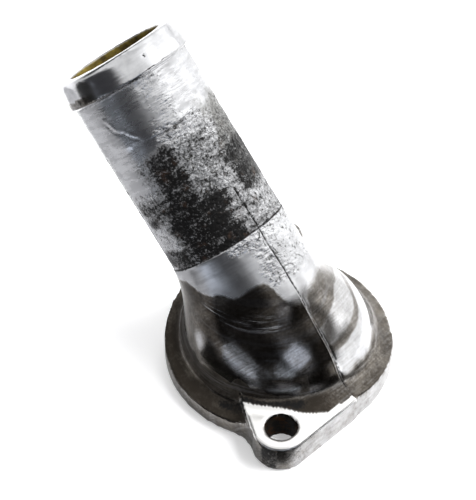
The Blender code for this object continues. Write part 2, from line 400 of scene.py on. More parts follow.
@dataclass(frozen=True)
class Corrosion(Mark):
    """Pits that the coolant ate into the neck; the number beside each area says how ragged its ends are."""

    depth: float = 0.20
    lumps: float = 0.10
    areas: tuple[tuple[Area, float], ...] = (
        (Area(1.0, (44.0, 58.0, 6.0), (-66.0, 22.0, 16.0)), 0.4),
        (Area(0.75, (24.0, 44.0, 4.0), (-62.0, 30.0, 20.0)), 0.0),
        (Area(0.55, (9.0, 25.0, 7.0), (-42.0, 14.0, 12.0)), 0.0),
        (Area(0.30, (62.0, 75.0, 4.0), (8.0, 26.0, 10.0)), 0.3),
        (Area(0.6, (30.0, 47.0, 3.0), (58.0, 96.0, 9.0)), 0.0),
    )

    def share(self, places: Places) -> np.ndarray:
        """How strongly each place is eaten, from 0 to 1."""
        rag = 9.0 * places.speckle(8.0, 21.0)
        shares = [area.cover(places.along + ends * rag, places.angle + rag) for area, ends in self.areas]
        shares.append(0.6 * (np.abs(places.angle) > 105.0) * between(places.along + 0.5 * rag, 27.0, 60.0, 5.0))
        return np.maximum.reduce(shares) * places.on_neck

    def height(self, places: Places) -> np.ndarray:
        """Ragged hollows with raised remains of skin between them."""
        rough = places.speckle(1.6, 31.0) + 0.7 * places.speckle(0.9, 32.0)
        hollow = rise(places.speckle(2.4, 33.0) + 0.5 * rough, 0.05, 0.45)
        return self.share(places) * (self.lumps * rough - self.depth * hollow)


@dataclass(frozen=True)
class Scratch(Mark):
    """Scored line on the neck with a burr pushed up beside it."""

    route: Line
    depth: float = 0.12
    burr: float = 0.12
    half_width: float = 0.36

    def height(self, places: Places) -> np.ndarray:
        """Groove along the route and a ridge on its far side."""
        arc_length = np.radians(places.angle) * places.body.neck_radius
        spots = np.column_stack((places.along, arc_length))
        nearest = np.full(len(spots), 1e3)
        side = np.zeros(len(spots))
        corners = [np.array((s, math.radians(a) * places.body.neck_radius)) for s, a in self.route]
        for start, end in zip(corners, corners[1:]):
            run = end - start
            share = np.clip((spots - start) @ run / (run @ run), 0.0, 1.0)
            away = spots - start - share[:, None] * run
            distance = np.linalg.norm(away, axis=1)
            closer = distance < nearest
            nearest = np.where(closer, distance, nearest)
            side = np.where(closer, np.sign(away[:, 1] * run[0] - away[:, 0] * run[1]), side)
        across = nearest * side
        groove = self.depth * bell(across + 0.35, self.half_width)
        ridge = self.burr * bell(across - 0.45, self.half_width)
        return (ridge - groove) * places.on_neck


@dataclass(frozen=True)
class Nick(Mark):
    """Small dent on the neck."""

    along: float
    angle: float
    radius: float
    depth: float

    def height(self, places: Places) -> np.ndarray:
        """Round dent."""
        aside = np.radians(places.angle - self.angle) * places.body.neck_radius
        return -self.depth * bell(np.hypot(places.along - self.along, aside), self.radius) * places.on_neck


@dataclass(frozen=True)
class HandFinish(Mark):
    """Slight unevenness that the file and the polishing left all over."""

    broad: float = 0.10
    fine: float = 0.03

    def height(self, places: Places) -> np.ndarray:
        """Long shallow waves and short faint ones."""
        waves = self.broad * places.speckle(14.0, 41.0) + self.fine * places.speckle(3.5, 42.0)
        smooth_part = np.maximum(places.on_dome, places.on_neck)
        return waves * np.where(smooth_part > 0.5, 0.6, 1.0) * (places.points[:, 2] > 0.6) * places.outer


@dataclass(frozen=True)
class CastGrain(Mark):
    """Grain of the mould on the plate's top and inside the waterway."""

    amount: float = 0.05

    def height(self, places: Places) -> np.ndarray:
        """Fine lumps where the mould's skin is still there."""
        grain = places.speckle(1.3, 51.0) + 0.7 * places.speckle(2.9, 52.0)
        inside = 1.0 - places.outer
        plate_top = places.outer * rise(np.abs(places.to_top), 0.7, 0.2)
        return self.amount * grain * np.maximum(plate_top * 0.7, inside) * (places.points[:, 2] > 0.4)


class Mask(Enum):
    """Wear masks that the finishes read from the mesh; the film and dirt masks also carry painted shade."""

    FILED = "filed"
    FILM = "film"
    GRIME_AND_SHADE = "grime"
    PITTING = "pitting"
    OXIDE = "oxide"
    NECK = "neck"
    SATIN = "satin"
    STROKES = "strokes"
    MATTE = "matte"
    INSIDE = "inside"


@dataclass(frozen=True)
class Wear:
    """Where the casting is filed bright, still has its cast skin, is grimy or is pitted, and where shade is painted
    into its film and dirt.

    face_edge is the file's line on an ear's face as X and Y. The other lines give a distance along the
    neck for angles round it. A shiny spot is a short line between two points and its half width.
    """

    face_edge: Line = (
        (-2.0, 28.5), (-10.1, 24.9), (-17.7, 21.2), (-21.7, 19.0), (-25.5, 16.7), (-28.1, 14.3), (-30.3, 11.5),
        (-31.0, 6.0), (-31.2, 1.0),
    )
    foot_line: Line = (
        (-36.0, 5.6), (-25.7, 4.5), (-11.2, 3.1), (-2.2, 1.6), (3.2, 1.4), (12.4, 3.8), (16.0, 6.8), (18.5, 10.5),
        (22.0, 12.0), (38.0, 12.0), (47.0, 11.6), (53.0, 11.9), (60.8, 14.6), (70.4, 15.5), (80.0, 17.0),
        (86.5, 19.3), (94.0, 21.7), (120.0, 23.0),
    )
    seam_line: Line = (
        (-81.0, 0.2), (-48.0, -2.2), (-34.0, -5.0), (-22.6, -6.3), (-12.5, -7.1), (-4.0, -8.2),
    )
    band_line: Line = (
        (-84.0, -1.6), (-76.0, -3.8), (-69.0, -6.0), (-63.0, -9.2), (-54.0, -11.6), (-43.0, -12.9), (-30.0, -14.0),
        (-14.0, -14.5), (-4.0, -14.4),
    )
    shiny_spots: tuple[tuple[Triple, Triple, float], ...] = (
        ((-4.5, 22.6, 21.4), (-12.2, 20.9, 16.9), 3.3),
        ((-17.6, 9.3, 22.4), (-17.3, 14.2, 19.4), 3.1),
        ((-15.5, 19.0, 14.0), (-21.0, 14.5, 14.0), 1.4),
    )
    above_ring: tuple[Area, ...] = (
        Area(1.0, (20.0, 38.0, 9.0), (18.0, 58.0, 24.0)),
        Area(0.60, (20.0, 40.0, 9.0), (-50.0, 15.0, 30.0)),
    )
    deposits: tuple[Area, ...] = (
        Area(0.96, (41.0, 56.0, 5.0), (34.0, 52.0, 15.0)),
        Area(0.90, (37.0, 48.0, 6.0), (-56.0, -14.0, 12.0)),
        Area(0.62, (43.0, 54.0, 9.0), (-50.0, 62.0, 24.0)),
        Area(0.74, (39.5, 45.0, 4.0), (60.0, 93.0, 12.0)),
        Area(0.80, (26.0, 30.5, 1.2), (60.0, 108.0, 8.0)),
    )
    lip_foot: Area = Area(0.42, (76.5, 76.8, 0.3), (10.0, 110.0, 10.0))
    upper_ring: Area = Area(0.55, (60.2, 61.0, 0.8), (8.0, 30.0, 8.0))
    patina: Area = Area(0.68, (43.0, 60.0, 9.0), (-100.0, -26.0, 20.0))

    def under_foot_line(self, places: Places) -> np.ndarray:
        """1 on the dome, where the dirt stayed, and 0 on the neck's foot, which the hose kept rubbed."""
        line = places.follow(self.foot_line) + 0.35 * places.speckle(1.7, 73.0)
        soft = 0.4 + 1.3 * rise(places.angle, 22.0, 10.0)
        return np.clip((line + soft - places.along) / (2.0 * soft), 0.0, 1.0)

    def filed(self, places: Places) -> np.ndarray:
        """Ear faces outside their file line, and the plate's outer edges."""
        rag = 0.3 * places.speckle(2.6, 61.0)
        bright = np.zeros(len(places.points))
        for turn in EAR_TURNS:
            local = places.plate.seen_from_ear(places.points, turn)
            edge_y = np.interp(local[:, 0], *zip(*self.face_edge[::-1]))
            beyond = np.where(local[:, 0] < -31.0, 1.0, local[:, 1] - edge_y)
            on_face = rise(np.abs(local[:, 2] - places.plate.ear_height), 0.8, 0.5)
            raised = places.plate.ear_top(places.points, turn) > places.plate.ear_height - 0.4
            worn = rise(beyond + rag, -1.1, 1.1) * on_face * raised
            if turn > 0.0:
                inner = 1.6 - np.abs(np.minimum.reduce(places.plate.walls(places.points)))
                worn = worn * rise(inner, 0.9, -0.6)
            bright = np.maximum(bright, worn)
        inset = -np.minimum.reduce(places.plate.walls(places.points))
        edge = rise(inset + 0.3 * rag, 1.0, 0.3) * rise(np.abs(places.to_top), 1.3, 0.5) * (places.to_body > 3.0)
        right = rise(places.points[:, 1], 14.0, 2.0)
        return np.maximum(bright, (0.35 + 0.4 * right) * edge) * places.outer

    def film(self, places: Places) -> np.ndarray:
        """Dark film of old dirt on the plate, the dome's foot and its shaded side; on the dome's side away from the key
        lamp it is dirt and painted shade together.
        """
        rag = places.speckle(4.0, 71.0) + 0.5 * places.speckle(1.5, 72.0)
        # The +Y side, away from the key lamp: here the plate's film is thicker and reaches higher up the dome's foot,
        # as painted shade.
        left = between(places.round_axis, 25.0, 150.0, 25.0)
        plate = rise(places.to_body + 0.3 * rag, -1.0, 1.4) * rise(places.to_top, 3.5, 1.8) * (0.80 + 0.20 * left)
        foot = np.maximum(left * rise(places.to_top + rag, 11.0, 6.5), rise(places.to_top + rag, 5.5, 1.5))
        under = self.under_foot_line(places)
        # Film over the whole of the dome's +Y side, away from the key lamp: dirt and painted shade together.
        shaded = under * rise(places.angle, -3.0, 1.0) * 0.86
        line = places.follow(self.seam_line) + 0.3 * places.speckle(1.7, 74.0)
        ragged_side = between(places.angle + 6.0 * rag, -84.0, -5.0, 4.0)
        beside_seam = 0.76 * under * ragged_side * rise(places.along, line - 0.7, line + 0.7)
        past = places.along - (places.follow(self.band_line) + 0.3 * places.speckle(4.0, 76.0))
        band = 0.74 * between(past, -1.0, 0.5, 1.7) * between(places.angle, -84.0, -4.0, 5.0)
        dulled = np.maximum(0.40 * between(past, 0.0, 12.0, 2.0), 0.30 * rise(past, 1.0, -1.0))
        dulled = dulled * between(places.angle, -84.0, -5.0, 4.0)
        beside_seam = np.maximum.reduce([beside_seam, band, dulled]) * places.on_dome
        beneath = 0.7 * (np.abs(places.angle) > 120.0) * rise(places.along, 60.0, 20.0)
        wall = places.upright * (0.46 + 0.26 * between(places.round_axis, 20.0, 136.0, 8.0))
        spread = np.maximum.reduce([plate * (1.0 - places.upright), wall, beside_seam, beneath])
        rubbed = np.maximum(places.dab(5.5, 102.0, 2.6, 5.0), 0.42 * self.shiny(places))
        spread = np.maximum(spread, np.maximum(foot, shaded) * places.on_dome) * (1.0 - 0.75 * rubbed)
        return spread * (1.0 - rise(self.filed(places), 0.3, 0.7)) * places.outer

    def shiny(self, places: Places) -> np.ndarray:
        """Places on the dome's front where the film of dirt and painted shade is thin and the metal shines through."""
        share = np.zeros(len(places.points))
        for start, end, reach in self.shiny_spots:
            first, run = np.array(start), np.array(end) - np.array(start)
            part = np.clip((places.points - first) @ run / (run @ run), 0.0, 1.0)
            away = np.linalg.norm(places.points - first - part[:, None] * run, axis=1)
            share = np.maximum(share, rise(away + 0.5 * places.speckle(2.0, 75.0), reach + 1.3, reach - 0.7))
        return share * places.on_dome

    def grime(self, places: Places) -> np.ndarray:
        """Dark deposit under the place of the hose and in the marks, and painted shade in the crease at the dome's foot
        towards the ear.
        """
        along = places.along + 2.0 * places.speckle(7.0, 81.0)
        angle = places.angle + 9.0 * places.speckle(9.0, 82.0)
        patches = [rise(places.along, 24.8, 25.4) * area.cover(along, angle) for area in self.above_ring]
        patches += [area.cover(along, angle) for area in self.deposits]
        patches += [
            0.5 * between(along, 27.0, 58.0, 6.0) * (np.abs(places.angle) > 105.0),
            0.9 * between(places.along, 24.9, 25.2, 0.35),
            self.lip_foot.cover(places.along, angle),
            self.upper_ring.cover(places.along, places.angle),
            0.95 * places.dab(79.0, 83.0, 0.8, 2.8, power=2.0),
            1.6 * places.dab(81.3, 7.4, 0.45, 1.3),
        ]
        seam = 1.1 * bell(places.off_seam + 0.43, 0.24) * (np.abs(places.angle) < 90.0)
        seam = seam * rise(places.along, 41.0, 37.0) * rise(places.to_top, 0.0, 0.8) * places.outer
        from_ear = places.points[:, :2] - places.plate.ear_centre
        turn = np.degrees(np.arctan2(from_ear[:, 1], from_ear[:, 0]))
        at_nose = (np.hypot(*from_ear.T) > 7.0) * (places.to_top < -0.7) * (places.points[:, 2] > 0.8)
        nose = at_nose * (0.8 * between(turn, 95.0, 124.0, 6.0) + 0.3 * between(turn, 150.0, 176.0, 14.0))
        # Near-black line in the crease at the dome's foot, towards the ear: painted crease shade.
        crease_shade = 0.85 * between(places.round_axis, 104.0, 146.0, 9.0) * rise(places.to_body, 4.0, 2.0)
        crease_shade = crease_shade * rise(places.to_top, 2.2, 0.9) * (places.to_body > -0.6)
        crease_shade = crease_shade * (1.0 - rise(self.filed(places), 0.3, 0.7))
        deposit = np.maximum.reduce(patches) * places.on_neck
        return np.maximum.reduce([deposit, seam, np.maximum(nose, crease_shade) * places.outer])

    def strokes(self, places: Places) -> np.ndarray:
        """Bright strokes of the brush across the dome's shoulder, and fainter ones elsewhere."""
        shoulder = between(places.angle, 34.0, 78.0, 10.0) * between(places.points[:, 2], 28.4, 31.0, 1.2)
        faint = 0.12 * places.on_dome * rise(places.along, 16.0, 10.0)
        return np.maximum(shoulder, faint) * places.outer

    def matte(self, places: Places) -> np.ndarray:
        """Foot of the neck and the plate's walls, which are rubbed dull."""
        foot = (1.0 - self.under_foot_line(places)) * rise(places.along, 26.0, 24.5)
        walls = 0.8 * places.upright * (places.to_top < 0.0) * places.outer
        return np.maximum(foot * np.maximum(places.on_neck, places.on_dome), walls)

    def inside(self, places: Places) -> np.ndarray:
        """Wall of the waterway up to the edge of its mouth."""
        wall = places.body.neck_radius - places.body.neck_wall
        mouth = rise(places.along, places.body.neck_length - 0.15, places.body.neck_length - 0.5)
        return mouth * rise(places.radius, wall + 0.9, wall + 0.5) * (places.along > 60.0)

    def oxide(self, places: Places) -> np.ndarray:
        """Dull grey patina on the side of the neck that the polishing left out."""
        angle = places.angle + 8.0 * places.speckle(6.0, 91.0)
        along = places.along + 4.0 * places.speckle(7.0, 92.0)
        behind = 0.34 * rise(np.abs(angle), 95.0, 130.0) * between(along, 20.0, 66.0, 12.0)
        on_neck = np.maximum(self.patina.cover(along, angle), behind) * places.on_neck
        return np.maximum(on_neck, 0.28 * places.upright * places.outer)

    def all_masks(self, places: Places) -> dict[Mask, np.ndarray]:
        """Every mask by its name."""
        satin = np.maximum(between(places.along, 46.0, 76.0, 2.5), 0.3 * (places.along > 76.0))
        return {
            Mask.FILED: self.filed(places),
            Mask.FILM: self.film(places),
            Mask.GRIME_AND_SHADE: self.grime(places),
            Mask.PITTING: Corrosion().share(places),
            Mask.OXIDE: self.oxide(places),
            Mask.NECK: rise(places.along, 14.0, 22.0) * rise(places.along, 78.0, 74.0) * places.outer,
            Mask.SATIN: satin * places.outer,
            Mask.STROKES: self.strokes(places),
            Mask.MATTE: self.matte(places),
            Mask.INSIDE: self.inside(places),
        }


class NodeSheet:
    """Shader nodes of one material or of the sky, added one after another."""

    def __init__(self, owner: bpy.types.Material | bpy.types.World, coordinates: str = "Object") -> None:
        """Start on the owner's nodes.

        Args:
            owner: the material or the world.
            coordinates: the texture coordinates that its patterns use.
        """
        owner.use_nodes = True
        self.owner = owner
        self.tree = owner.node_tree
        self.shader = self.tree.nodes.get("Principled BSDF")
        self.coordinates = coordinates

    @cached_property
    def place(self) -> Socket:
        """Coordinates of the point that is shaded."""
        return self.add("TexCoord", self.coordinates, {})

    @cached_property
    def rays(self) -> bpy.types.NodeOutputs:
        """Kinds of ray that look at the point."""
        return self.add("LightPath", 0, {}).node.outputs

    def add(self, kind: str, output: str | int, inputs: dict[str | int, object], **settings: str) -> Socket:
        """Add a node.

        Args:
            kind: the node's type, without the words that all types begin with.
            output: which of its outputs is wanted.
            inputs: values and sockets for its inputs.
            **settings: the node's other settings.

        Returns:
            The output.
        """
        node = self.tree.nodes.new("ShaderNode" + kind)
        for name, value in settings.items():
            setattr(node, name, value)
        for name, value in inputs.items():
            self.put(value, node.inputs[name])
        return node.outputs[output]

    def put(self, value: object, target: Socket) -> None:
        """Link a socket to the target, or set the target's own value."""
        if isinstance(value, Socket):
            self.tree.links.new(value, target)
        elif isinstance(value, tuple):
            target.default_value = (*value, 1.0) if len(target.default_value) == 4 else value
        else:
            target.default_value = value

    def attribute(self, mask: Mask) -> Socket:
        """Read a wear mask from the mesh."""
        return self.add("Attribute", "Fac", {}, attribute_name=mask.value)

    def strands(self, scale: Triple, detail: float, roughness: float, turn_y: float = 0.0) -> Socket:
        """Noise drawn out into strands.

        Args:
            scale: how many spots a metre holds along each turned axis.
            detail: number of finer layers.
            roughness: weight of the finer layers.
            turn_y: turn of the axes about Y.

        Returns:
            The noise's factor, about 0.5 in the middle.
        """
        turned = self.add("Mapping", "Vector", {"Vector": self.place, "Rotation": (0.0, turn_y, 0.0)})
        stretched = self.add("Mapping", "Vector", {"Vector": turned, "Scale": scale})
        return self.noise(1.0 / MM, detail, roughness, stretched)

    def noise(self, spot: float, detail: float, roughness: float = 0.55, vector: Socket | None = None) -> Socket:
        """Noise with spots of this many millimetres, at the object's own coordinates or at a vector."""
        inputs = {"Scale": 1.0 / (spot * MM), "Detail": detail, "Roughness": roughness}
        return self.add("TexNoise", "Fac", inputs | {"Vector": self.place if vector is None else vector})

    def sum(self, operation: str, first: object, second: object = 0.0, third: object = 0.0) -> Socket:
        """One step of arithmetic."""
        return self.add("Math", "Value", {0: first, 1: second, 2: third}, operation=operation)

    def moved(self, value: object, patterns: Sequence[tuple[Socket, float]]) -> Socket:
        """Move a value up and down by noises, each as strongly as the number beside it."""
        for pattern, strength in patterns:
            value = self.sum("MULTIPLY_ADD", self.sum("SUBTRACT", pattern, 0.5), strength, value)
        return value

    def step(self, value: object, start: float, end: float, low: float = 0.0, high: float = 1.0) -> Socket:
        """Smooth step of a value from start to end, mapped to low and high."""
        inputs = {"Value": value, "From Min": start, "From Max": end, "To Min": low, "To Max": high}
        return self.add("MapRange", "Result", inputs, interpolation_type="SMOOTHSTEP")

    def blend(self, share: object, first: object, second: object) -> Socket:
        """Mix two numbers by a share."""
        return self.add("Mix", 0, {0: share, 2: first, 3: second})

    def tint(self, share: object, first: object, second: object) -> Socket:
        """Mix two colours by a share."""
        return self.add("Mix", 2, {0: share, 6: first, 7: second}, data_type="RGBA")

    def bump(self, height: Socket, depth: float, below: Socket | None = None,
             strength: object = 1.0) -> Socket:
        """Bump of this many millimetres over an earlier one."""
        inputs = {"Height": height, "Distance": depth * MM, "Strength": strength}
        return self.add("Bump", "Normal", inputs if below is None else inputs | {"Normal": below})

    def dress(self, colour: object, roughness: object, metallic: object, normal: Socket) -> None:
        """Give the shader its colour, roughness, metallic value and bump."""
        values = {"Base Color": colour, "Roughness": roughness, "Metallic": metallic, "Normal": normal}
        for name, value in values.items():
            self.put(value, self.shader.inputs[name])


@dataclass(frozen=True)
class WornSkin:
    """Outside of the casting: rubbed metal, filed metal, pits, dirt with painted crease shade, and a dark film that is
    partly painted shade.
    """

    rubbed: Colour = (0.64, 0.645, 0.66)
    dulled: Colour = (0.49, 0.493, 0.505)
    filed: Colour = (0.84, 0.835, 0.82)
    oxide: Colour = (0.27, 0.27, 0.26)
    pit: Colour = (0.05, 0.048, 0.042)
    # Colour of the dark film, also used as painted shade on the dome's side away from the key lamp.
    film: Colour = (0.038, 0.032, 0.026)
    thin_film: Colour = (0.20, 0.18, 0.155)
    # Near-black of the dirt, also used as painted shade in the crease at the dome's foot.
    grime: Colour = (0.008, 0.0078, 0.0078)
    rust: Colour = (0.030, 0.019, 0.014)
    neck_turn: float = BodyForm.neck_elevation

    def material(self) -> bpy.types.Material:
        """Build the nodes."""
        sheet = NodeSheet(bpy.data.materials.new("worn_aluminium"))
        filed, film, grime, pitting, oxide, neck, satin, strokes, matte, inside = map(sheet.attribute, Mask)

        cloud = sheet.noise(6.0, 4.0)
        patch = sheet.noise(3.5, 5.0, 0.6)
        grain = sheet.noise(0.55, 5.0, 0.7)
        fleck = sheet.noise(0.8, 6.0, 0.72)
        crater = sheet.noise(1.1, 5.0, 0.65)
        streak = sheet.strands((2200.0, 60.0, 60.0), 4.0, 0.6, self.neck_turn)
        rub = sheet.strands((700.0, 120.0, 120.0), 3.0, 0.6, self.neck_turn)
        hair = sheet.strands((50.0, 50.0, 850.0), 4.0, 0.65)
        hammer = sheet.strands((1300.0, 380.0, 380.0), 4.0, 0.65, self.neck_turn)
        facet = sheet.strands((1200.0, 750.0, 750.0), 1.5, 0.45, self.neck_turn)
        smear = sheet.strands((420.0, 110.0, 110.0), 5.0, 0.7, self.neck_turn)

        # Share of dirt, with the painted crease shade at the dome's foot.
        dirt = self._spread(sheet, grime, ((fleck, 1.5), (grain, 1.3), (smear, 1.3)), 0.18, 0.92)
        # Share of the film, which is partly painted shade.
        film_and_shade = self._spread(sheet, film, ((patch, 0.3), (fleck, 0.3), (streak, 0.4)), 0.10, 0.90)
        eaten = self._spread(sheet, pitting, ((patch, 0.9), (fleck, 0.8)), 0.15, 0.65)
        dull = self._spread(sheet, oxide, ((patch, 1.2), (fleck, 0.8)), 0.15, 0.75)
        bare = self._spread(sheet, filed, ((fleck, 0.5), (patch, 0.3)), 0.25, 0.72)
        hollow = sheet.sum("MULTIPLY", eaten, sheet.step(crater, 0.46, 0.36))
        brushed = sheet.sum("MULTIPLY", sheet.step(hair, 0.50, 0.62), strokes)
        worn = sheet.sum("MULTIPLY_ADD", sheet.sum("SUBTRACT", rub, 0.5), sheet.blend(neck, 0.35, 1.2), cloud)

        thickness = sheet.moved(film, ((fleck, 0.6), (cloud, 0.8), (hair, 0.6)))
        coat = sheet.tint(sheet.step(thickness, 0.35, 1.10), self.thin_film, self.film)
        coat = sheet.tint(sheet.sum("MULTIPLY", brushed, 0.8), coat, self.rubbed)
        # Colour of the dirt and of the painted crease shade.
        soot_and_shade = sheet.tint(sheet.step(patch, 0.56, 0.72), self.grime, self.rust)
        colour = sheet.tint(sheet.step(worn, 0.35, 0.7), self.rubbed, self.dulled)
        for share, shade in ((dull, self.oxide), (hollow, self.pit), (bare, self.filed), (film_and_shade, coat), (dirt, soot_and_shade),
                             (inside, CoolantStain().patches(sheet)[1])):
            colour = sheet.tint(share, colour, shade)

        roughness = sheet.blend(satin, sheet.step(cloud, 0.3, 0.7, 0.09, 0.15), sheet.step(worn, 0.3, 0.7, 0.22, 0.32))
        glaze = sheet.blend(sheet.step(film, 0.86, 0.99), sheet.step(grain, 0.3, 0.7, 0.13, 0.22), 0.48)
        for share, value in ((dull, 0.38), (bare, 0.30), (film_and_shade, glaze), (matte, 0.29), (eaten, 0.15), (dirt, 0.36),
                             (inside, 0.50)):
            roughness = sheet.blend(share, roughness, value)
        metallic = sheet.blend(sheet.sum("MAXIMUM", dirt, inside), 1.0, 0.25)

        normal = None
        for pattern, depth, strength in (
            (streak, 0.014, 1.0),
            (hair, 0.05, brushed),
            (hammer, 0.06, sheet.sum("MAXIMUM", satin, sheet.sum("MULTIPLY", matte, 0.6))),
            (grain, 0.05, sheet.sum("MAXIMUM", sheet.blend(film_and_shade, 0.08, 0.4), dull)),
            (crater, 0.22, eaten),
            (facet, 0.62, eaten),
            (fleck, 0.12, sheet.sum("MAXIMUM", eaten, sheet.sum("MULTIPLY", dirt, 0.6))),
        ):
            normal = sheet.bump(pattern, depth, normal, strength)
        sheet.dress(colour, roughness, metallic, normal)
        sheet.put(DULL_SHEEN, sheet.shader.inputs["Specular IOR Level"])
        return sheet.owner

    @staticmethod
    def _spread(sheet: NodeSheet, mask: Socket, ragged: Sequence[tuple[Socket, float]],
                start: float, end: float) -> Socket:
        """Break a mask's edge up with noise, and keep it clean where the mask is empty.

        Args:
            sheet: the material's nodes.
            mask: the wear mask.
            ragged: noises and how strongly each moves the edge.
            start: value at which the mask begins to show.
            end: value at which it covers all.

        Returns:
            The share of the surface that is covered.
        """
        return sheet.sum("MULTIPLY", sheet.step(sheet.moved(mask, ragged), start, end), sheet.step(mask, 0.02, 0.2))


@dataclass(frozen=True)
class MachinedFace:
    """Sealing face and drilled holes: cut metal with the cutter's fine rings and old stains."""

    metal: Colour = (0.62, 0.61, 0.60)
    stain: Colour = (0.20, 0.17, 0.13)
    ring_size: float = 0.5

    def material(self) -> bpy.types.Material:
        """Build the nodes."""
        sheet = NodeSheet(bpy.data.materials.new("machined_aluminium"))
        stain = sheet.step(sheet.noise(7.0, 5.0, 0.65), 0.45, 0.70)
        colour = sheet.tint(stain, self.metal, self.stain)
        centred = sheet.add("Mapping", "Vector", {"Vector": sheet.place, "Location": (-FLANGE_X * MM, 0.0, 0.0)})
        inputs = {"Vector": centred, "Scale": 0.3 / (self.ring_size * MM), "Distortion": 0.6}
        normal = sheet.bump(sheet.add("TexWave", "Fac", inputs, wave_type="RINGS", rings_direction="Z"), 0.012)
        normal = sheet.bump(sheet.noise(0.8, 4.0), 0.02, normal)
        sheet.dress(colour, sheet.step(stain, 0.0, 1.0, 0.30, 0.50), sheet.blend(stain, 1.0, 0.6), normal)
        return sheet.owner


@dataclass(frozen=True)
class CoolantStain:
    """Inside of the waterway: cast skin under a brown and olive film."""

    film: Colour = (0.22, 0.165, 0.035)
    dark: Colour = (0.055, 0.040, 0.016)

    def patches(self, sheet: NodeSheet) -> tuple[Socket, Socket]:
        """Share of the dark patches, and the colour that they give with the film."""
        patch = sheet.step(sheet.noise(5.0, 6.0, 0.65), 0.35, 0.65)
        return patch, sheet.tint(patch, self.film, self.dark)

    def material(self) -> bpy.types.Material:
        """Build the nodes."""
        sheet = NodeSheet(bpy.data.materials.new("coolant_stained"))
        patch, colour = self.patches(sheet)
        normal = sheet.bump(sheet.noise(0.9, 5.0, 0.6), 0.10)
        sheet.dress(colour, sheet.step(patch, 0.0, 1.0, 0.40, 0.60), 0.5, normal)
        return sheet.owner


@dataclass(frozen=True)
class DirtyBore:
    """Wall of a bolt hole: drilled metal under black dirt and brown rust from the bolt."""

    dirt: Colour = (0.007, 0.006, 0.005)
    rust: Colour = (0.060, 0.029, 0.013)

    def material(self) -> bpy.types.Material:
        """Build the nodes."""
        sheet = NodeSheet(bpy.data.materials.new("dirty_bore"))
        patch = sheet.step(sheet.noise(2.2, 5.0, 0.7), 0.48, 0.66)
        colour = sheet.tint(patch, self.dirt, self.rust)
        normal = sheet.bump(sheet.noise(0.5, 4.0, 0.6), 0.08)
        sheet.dress(colour, sheet.step(patch, 0.0, 1.0, 0.45, 0.7), 0.2, normal)
        sheet.put(DULL_SHEEN, sheet.shader.inputs["Specular IOR Level"])
        return sheet.owner


class Slot(Enum):
    """Material slots of the casting's skin, in their order."""

    SKIN = 0
    MACHINED = 1
    WATERWAY = 2
    BORE = 3


PLATE = PlateForm()
BODY = BodyForm()
FLANGE_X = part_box("casting")[0][0] / MM - PLATE.wall_x
FLANGE_SPOT = np.array([FLANGE_X, 0.0, 0.0])


def vectors(parts: bpy.types.bpy_prop_collection, name: str) -> np.ndarray:
    """Read one vector of every vertex or face, one to a row."""
    flat = np.empty(3 * len(parts))
    parts.foreach_get(name, flat)
    return flat.reshape(-1, 3)


def make_active(piece: bpy.types.Object) -> None:
    """Select one object alone and make it the active one."""
    bpy.ops.object.select_all(action="DESELECT")
    piece.select_set(True)
    bpy.context.view_layer.objects.active = piece


def finish_with(piece: bpy.types.Object, kind: str, **settings: object) -> None:
    """Add a modifier to an object and apply it.

    Args:
        piece: the object.
        kind: the modifier's type.
        **settings: the modifier's values.
    """
    make_active(piece)
    bpy.ops.object.modifier_add(type=kind)
    modifier = piece.modifiers[-1]
    for name, value in settings.items():
        setattr(modifier, name, value)
    bpy.ops.object.modifier_apply(modifier=modifier.name)


